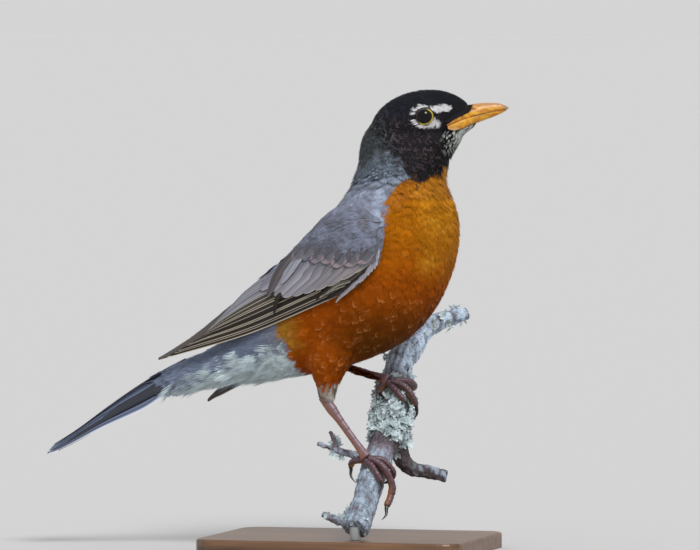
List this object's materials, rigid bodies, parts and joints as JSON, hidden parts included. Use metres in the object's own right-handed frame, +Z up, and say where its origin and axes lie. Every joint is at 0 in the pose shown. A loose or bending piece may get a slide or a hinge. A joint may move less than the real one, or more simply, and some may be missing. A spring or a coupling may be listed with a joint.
{
  "type": "bird model",
  "caption": "Life-size still model of a male American robin gripping a cut length of lichened branch, on a flat display base.",
  "frame": {"origin": "centre of the underside of the display base, on the floor", "axes": "+Z up, +X the way the bird's trunk faces, +Y to the bird's left"},
  "size_m": [0.2136, 0.1095, 0.2101],
  "materials": {
    "plumage_black": "blue-black head feathers, soft sheen",
    "plumage_grey": "brown-grey vanes with paler edges",
    "plumage_rust": "orange to brick breast feathers",
    "plumage_white": "white and grey loose coverts",
    "bill_horn": "yellow-orange horn with a dusky tip",
    "eye_dark": "near-black glossy eye",
    "leg_scales": "purplish-brown scaled skin",
    "claw_horn": "black horn",
    "bark": "grey bark with pale lichen",
    "steel": "plain steel pin",
    "base_wood": "satin dark wood"
  },
  "bodies": {
    "root": {"bill_lower": "bill_horn", "bill_upper": "bill_horn", "claw_left_1": "claw_horn", "claw_left_2": "claw_horn", "claw_left_3": "claw_horn", "claw_left_4": "claw_horn", "claw_right_1": "claw_horn", "claw_right_2": "claw_horn", "claw_right_3": "claw_horn", "claw_right_4": "claw_horn", "eye_left": "eye_dark", "eye_right": "eye_dark", "head": "plumage_black", "neck": "plumage_grey", "perch_branch": "bark", "rump": "plumage_white", "stand_base": "base_wood", "stand_rod": "steel", "tail": "plumage_grey", "tarsus_left": "leg_scales", "tarsus_right": "leg_scales", "thigh_left": "plumage_rust", "thigh_right": "plumage_rust", "toe_left_1": "leg_scales", "toe_left_2": "leg_scales", "toe_left_3": "leg_scales", "toe_left_4": "leg_scales", "toe_right_1": "leg_scales", "toe_right_2": "leg_scales", "toe_right_3": "leg_scales", "toe_right_4": "leg_scales", "trunk": "plumage_rust", "wing_left": "plumage_grey", "wing_right": "plumage_grey"}
  },
  "joints": []
}
